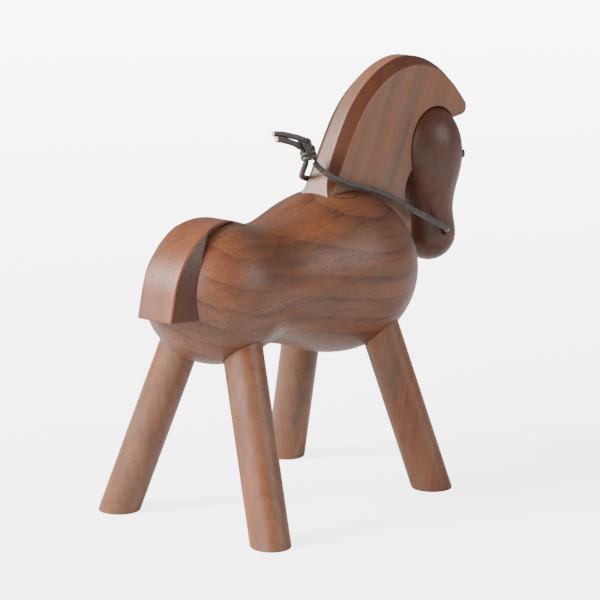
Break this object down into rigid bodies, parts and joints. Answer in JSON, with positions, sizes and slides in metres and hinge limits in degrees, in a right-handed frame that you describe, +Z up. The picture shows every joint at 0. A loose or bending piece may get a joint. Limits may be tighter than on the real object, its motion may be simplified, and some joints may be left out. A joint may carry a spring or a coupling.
{
  "type": "toy horse figurine",
  "caption": "Carved wooden toy horse with a turned body and head, splayed dowel legs, a bevelled mane board, a curved tail and a knotted leather rein.",
  "frame": {"origin": "on the surface that the horse stands on, under the middle of its length and width, measured without the rein", "axes": "+X forward, the way the horse faces; +Y to the horse's left; +Z up"},
  "size_m": [0.1547, 0.0774, 0.1395],
  "materials": {
    "torso_walnut": "oiled walnut, satin",
    "mane_walnut": "oiled walnut, satin",
    "head_walnut": "oiled dark walnut, satin",
    "tail_walnut": "oiled walnut, satin",
    "leg_walnut": "oiled walnut, satin",
    "beech": "bare beech",
    "eye_black": "black, polished",
    "rein_leather": "dark brown round leather lace"
  },
  "bodies": {
    "root": {"torso": "torso_walnut", "neck_and_mane": "mane_walnut", "head": "head_walnut", "eye_left": "eye_black", "eye_right": "eye_black", "tail": "tail_walnut", "leg_front_left": "leg_walnut", "leg_front_right": "leg_walnut", "leg_rear_left": "leg_walnut", "leg_rear_right": "leg_walnut", "neck_dowel_rear": "beech", "neck_dowel_front": "beech", "head_dowel": "beech", "tail_dowel": "beech", "rein_left": "rein_leather", "rein_right": "rein_leather", "rein_knot": "rein_leather", "rein_end_upper": "rein_leather", "rein_end_lower": "rein_leather"}
  },
  "joints": []
}
